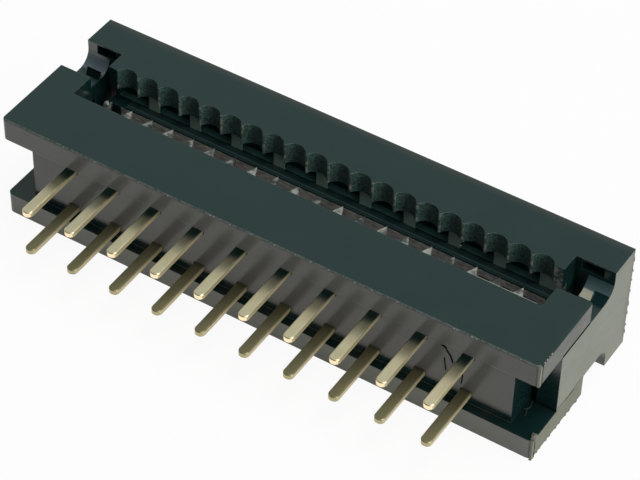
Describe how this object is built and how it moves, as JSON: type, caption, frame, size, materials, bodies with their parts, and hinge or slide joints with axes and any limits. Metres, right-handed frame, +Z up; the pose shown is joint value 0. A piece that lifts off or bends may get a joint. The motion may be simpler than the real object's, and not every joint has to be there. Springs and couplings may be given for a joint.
{
  "type": "insulation displacement connector",
  "caption": "Board-transition connector: two rows of solder pins, forked contacts that pierce a flat ribbon cable, and a fluted press-on cover shown open.",
  "frame": {"origin": "on the resting surface, under the middle of the connector's bounding box as it lies on its long side", "axes": "+X runs along the connector, +Y from the solder pins to the cover's back, +Z up across the two contact rows"},
  "size_m": [0.0308, 0.0126, 0.0063],
  "materials": {
    "body_plastic": "black glass-filled polyester, semi-gloss moulded skin",
    "cover_plastic": "black glass-filled polyester, semi-gloss moulded skin",
    "contact_metal": "gold over nickel plated copper alloy strip"
  },
  "bodies": {
    "base": {"insulator_body": "body_plastic", "contact_01": "contact_metal", "contact_02": "contact_metal", "contact_03": "contact_metal", "contact_04": "contact_metal", "contact_05": "contact_metal", "contact_06": "contact_metal", "contact_07": "contact_metal", "contact_08": "contact_metal", "contact_09": "contact_metal", "contact_10": "contact_metal", "contact_11": "contact_metal", "contact_12": "contact_metal", "contact_13": "contact_metal", "contact_14": "contact_metal", "contact_15": "contact_metal", "contact_16": "contact_metal", "contact_17": "contact_metal", "contact_18": "contact_metal", "contact_19": "contact_metal", "contact_20": "contact_metal"},
    "lid": {"cover": "cover_plastic"}
  },
  "joints": [
    {"name": "cover_press", "type": "slide", "parent": "base", "child": "lid", "axis": [0, -1, 0], "range_m": [0, 0.00165]}
  ]
}
